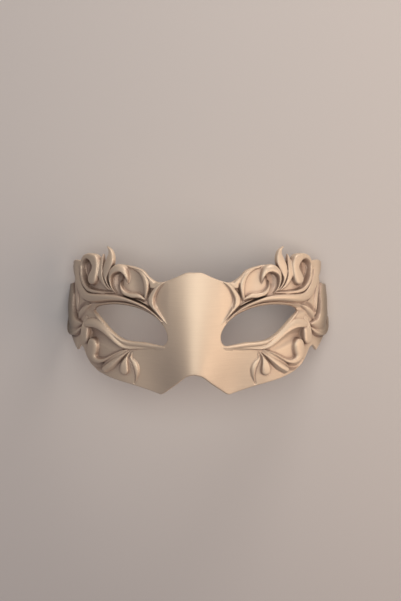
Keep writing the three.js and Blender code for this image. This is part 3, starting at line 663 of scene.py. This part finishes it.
FLOOR_COLOUR = (0.62, 0.60, 0.58, 1)
FLOOR_ROUGHNESS = 0.8


def new_material(name):
    material = bpy.data.materials.new(name)
    material.use_nodes = True
    nodes = material.node_tree.nodes
    return material, nodes, material.node_tree.links, nodes["Principled BSDF"]


def add_node(nodes, kind, inputs, **settings):
    """A new shader node with the inputs and settings given."""
    node = nodes.new("ShaderNode" + kind)
    for name, value in inputs.items():
        node.inputs[name].default_value = value
    for name, value in settings.items():
        setattr(node, name, value)
    return node


def add_ramp(nodes, stops):
    """A new colour ramp with its stops, each a position and a colour."""
    node = add_node(nodes, "ValToRGB", {})
    elements = node.color_ramp.elements
    for element, (position, colour) in zip(elements, (stops[0], stops[-1])):
        element.position = position
        element.color = colour
    for position, colour in stops[1:-1]:
        elements.new(position).color = colour
    return node


def ivory_paint():
    """Satin pearl paint, brushed across, with painted shade in the recesses and towards the wings' ends."""
    material, nodes, links, shader = new_material("ivory_paint")
    shader.inputs["Metallic"].default_value = PAINT_METALLIC
    shader.inputs["Roughness"].default_value = PAINT_ROUGHNESS
    place = add_node(nodes, "TexCoord", {})
    strokes = add_node(nodes, "Mapping", {"Scale": STROKE_SCALE})
    streaks = add_node(nodes, "TexNoise", {"Scale": 1, "Detail": STROKE_DETAIL})
    clouds = add_node(nodes, "TexNoise", {"Scale": CLOUD_SCALE, "Detail": CLOUD_DETAIL})
    blend = add_node(nodes, "Mix", {"Factor": STROKE_SHARE})
    tint = add_ramp(nodes, [(0, DARK_PAINT), (1, PALE_PAINT)])
    # Painted shade: the paint is darkened where the ambient occlusion node finds a place enclosed, in
    # creases, hollows and under leaves
    openness = add_node(nodes, "AmbientOcclusion", {"Distance": PAINTED_SHADE_REACH},
                        samples=PAINTED_SHADE_SAMPLES, only_local=True)
    painted_shade = add_ramp(nodes, PAINTED_SHADE)
    paint_with_recess_shade = add_node(nodes, "VectorMath", {}, operation="MULTIPLY")
    # Painted shade: the paint darkens towards the wings' ends, by distance from the middle line
    axes = add_node(nodes, "SeparateXYZ", {})
    sideways = add_node(nodes, "Math", {}, operation="ABSOLUTE")
    limits = {"From Min": WING_SHADE_FROM, "From Max": WING_SHADE_TO, "To Min": 1, "To Max": WING_SHADE_SHARE}
    wing_shade = add_node(nodes, "MapRange", limits, interpolation_type="SMOOTHSTEP")
    paint_with_wing_shade = add_node(nodes, "VectorMath", {}, operation="SCALE")
    bump = add_node(nodes, "Bump", {"Strength": STROKE_BUMP, "Distance": STROKE_DEPTH})
    links.new(place.outputs["Object"], strokes.inputs["Vector"])
    links.new(strokes.outputs["Vector"], streaks.inputs["Vector"])
    links.new(place.outputs["Object"], clouds.inputs["Vector"])
    links.new(clouds.outputs["Fac"], blend.inputs["A"])
    links.new(streaks.outputs["Fac"], blend.inputs["B"])
    links.new(blend.outputs["Result"], tint.inputs["Fac"])
    links.new(openness.outputs["AO"], painted_shade.inputs["Fac"])
    links.new(tint.outputs["Color"], paint_with_recess_shade.inputs[0])
    links.new(painted_shade.outputs["Color"], paint_with_recess_shade.inputs[1])
    links.new(place.outputs["Object"], axes.inputs["Vector"])
    links.new(axes.outputs["X"], sideways.inputs[0])
    links.new(sideways.outputs["Value"], wing_shade.inputs["Value"])
    links.new(paint_with_recess_shade.outputs["Vector"], paint_with_wing_shade.inputs["Vector"])
    links.new(wing_shade.outputs["Result"], paint_with_wing_shade.inputs["Scale"])
    links.new(paint_with_wing_shade.outputs["Vector"], shader.inputs["Base Color"])
    links.new(streaks.outputs["Fac"], bump.inputs["Height"])
    links.new(bump.outputs["Normal"], shader.inputs["Normal"])
    return material


def pale_floor():
    material, _, _, shader = new_material("pale_floor")
    shader.inputs["Base Color"].default_value = FLOOR_COLOUR
    shader.inputs["Roughness"].default_value = FLOOR_ROUGHNESS
    return material


# Stage: floor, lights and the photograph's camera

# Floor, in metres
FLOOR_SIZE = 6

# Lights: name, place and size in metres, watts, colour. Each faces the origin.
LIGHTS = [
    ("front", (0.045, 0.22, 0.87), 0.6, 3.9, (1, 0.96, 0.88)),
    ("side", (0.68, -0.04, 0.5), 0.6, 3, (1, 0.76, 0.58)),
    ("top", (0.3, 0.82, 0.2), 0.3, 3.3, (1, 0.88, 0.8)),
]
STUDIO_COLOUR = (0.75, 0.65, 1, 1)
STUDIO_STRENGTH = 0.1

# Camera: angles in degrees off the mask's front, distances in millimetres, and the point it looks at
# before the mask is laid down. The focal length and the image's side are in pixels.
CAMERA_TILT = 11.7
CAMERA_YAW = 1.8
CAMERA_ROLL = 0.3
CAMERA_DISTANCE = 550
LOOK_AT = (3.7, 57.9, 0)
FOCAL_LENGTH = 922
IMAGE_LONG_SIDE = 601
SENSOR_WIDTH = 36


def make_floor():
    bpy.ops.mesh.primitive_plane_add(size=FLOOR_SIZE)
    floor = bpy.context.object
    floor.name = "floor"
    floor.data.materials.append(pale_floor())


def make_light(name, place, size, watts, colour):
    light = bpy.data.lights.new(name, "AREA")
    light.size = size
    light.energy = watts
    light.color = colour
    lamp = bpy.data.objects.new(name, light)
    lamp.location = place
    lamp.rotation_euler = Vector(place).to_track_quat("Z", "Y").to_euler()
    lamp.visible_camera = False
    bpy.context.scene.collection.objects.link(lamp)


def make_lights():
    for light in LIGHTS:
        make_light(*light)
    world = bpy.data.worlds.new("studio")
    world.use_nodes = True
    background = world.node_tree.nodes["Background"]
    background.inputs["Color"].default_value = STUDIO_COLOUR
    background.inputs["Strength"].default_value = STUDIO_STRENGTH
    bpy.context.scene.world = world
    bpy.context.scene.view_settings.view_transform = "Standard"


def make_camera(shift):
    camera = bpy.data.cameras.new("camera")
    camera.sensor_width = SENSOR_WIDTH
    camera.lens = FOCAL_LENGTH / IMAGE_LONG_SIDE * SENSOR_WIDTH
    viewer = bpy.data.objects.new("camera", camera)
    tilt, yaw, roll = (math.radians(angle) for angle in (CAMERA_TILT, CAMERA_YAW, CAMERA_ROLL))
    back = Vector((math.sin(yaw) * math.cos(tilt), math.sin(tilt), math.cos(yaw) * math.cos(tilt)))
    right = Vector((0, 1, 0)).cross(back).normalized()
    up = back.cross(right)
    level = Matrix((right, up, back)).transposed()
    turn = level @ Matrix.Rotation(-roll, 3, "Z")
    place = (Vector(LOOK_AT) + shift + back * CAMERA_DISTANCE) * MILLIMETRE
    viewer.matrix_world = Matrix.Translation(place) @ turn.to_4x4()
    bpy.context.scene.collection.objects.link(viewer)
    bpy.context.scene.camera = viewer


mask, shift = make_mask()
mask.data.materials.append(ivory_paint())
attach(mask, "root")
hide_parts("mask")
make_floor()
make_lights()
make_camera(shift)
